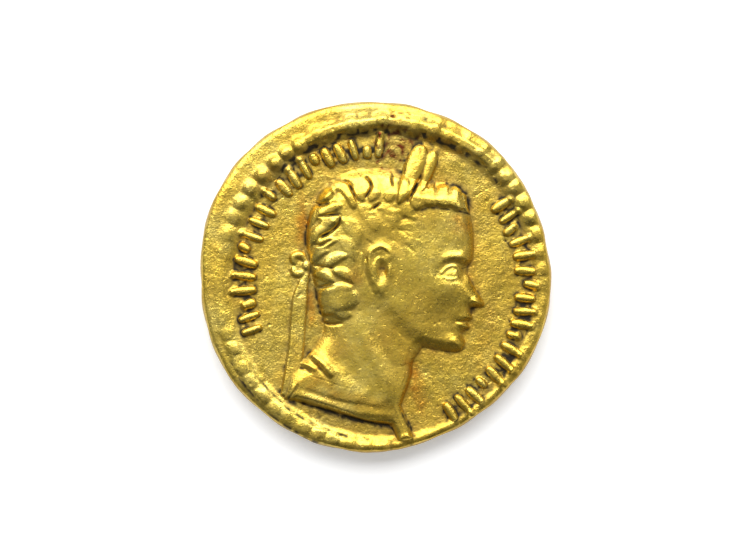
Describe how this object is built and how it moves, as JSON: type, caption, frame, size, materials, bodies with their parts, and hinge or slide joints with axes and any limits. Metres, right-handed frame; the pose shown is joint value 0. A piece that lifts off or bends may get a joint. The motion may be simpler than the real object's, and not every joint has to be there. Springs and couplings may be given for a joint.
{
  "type": "ancient gold coin",
  "caption": "Hammered gold coin with a laurel-wreathed bust in relief, beaded border, worn inscription strokes and a wreath and star on its plain side, lying flat.",
  "frame": {"origin": "on the plane the coin rests on, under the middle of the flan", "axes": "+Z out of the portrait side, along the coin's thickness; +X the way the portrait faces; +Y from its neck to its crown"},
  "size_m": [0.0194, 0.0194, 0.0022],
  "materials": {
    "gold": "worn, satin struck gold with dark and reddish deposits in the recesses"
  },
  "bodies": {
    "root": {"coin": "gold"}
  },
  "joints": []
}
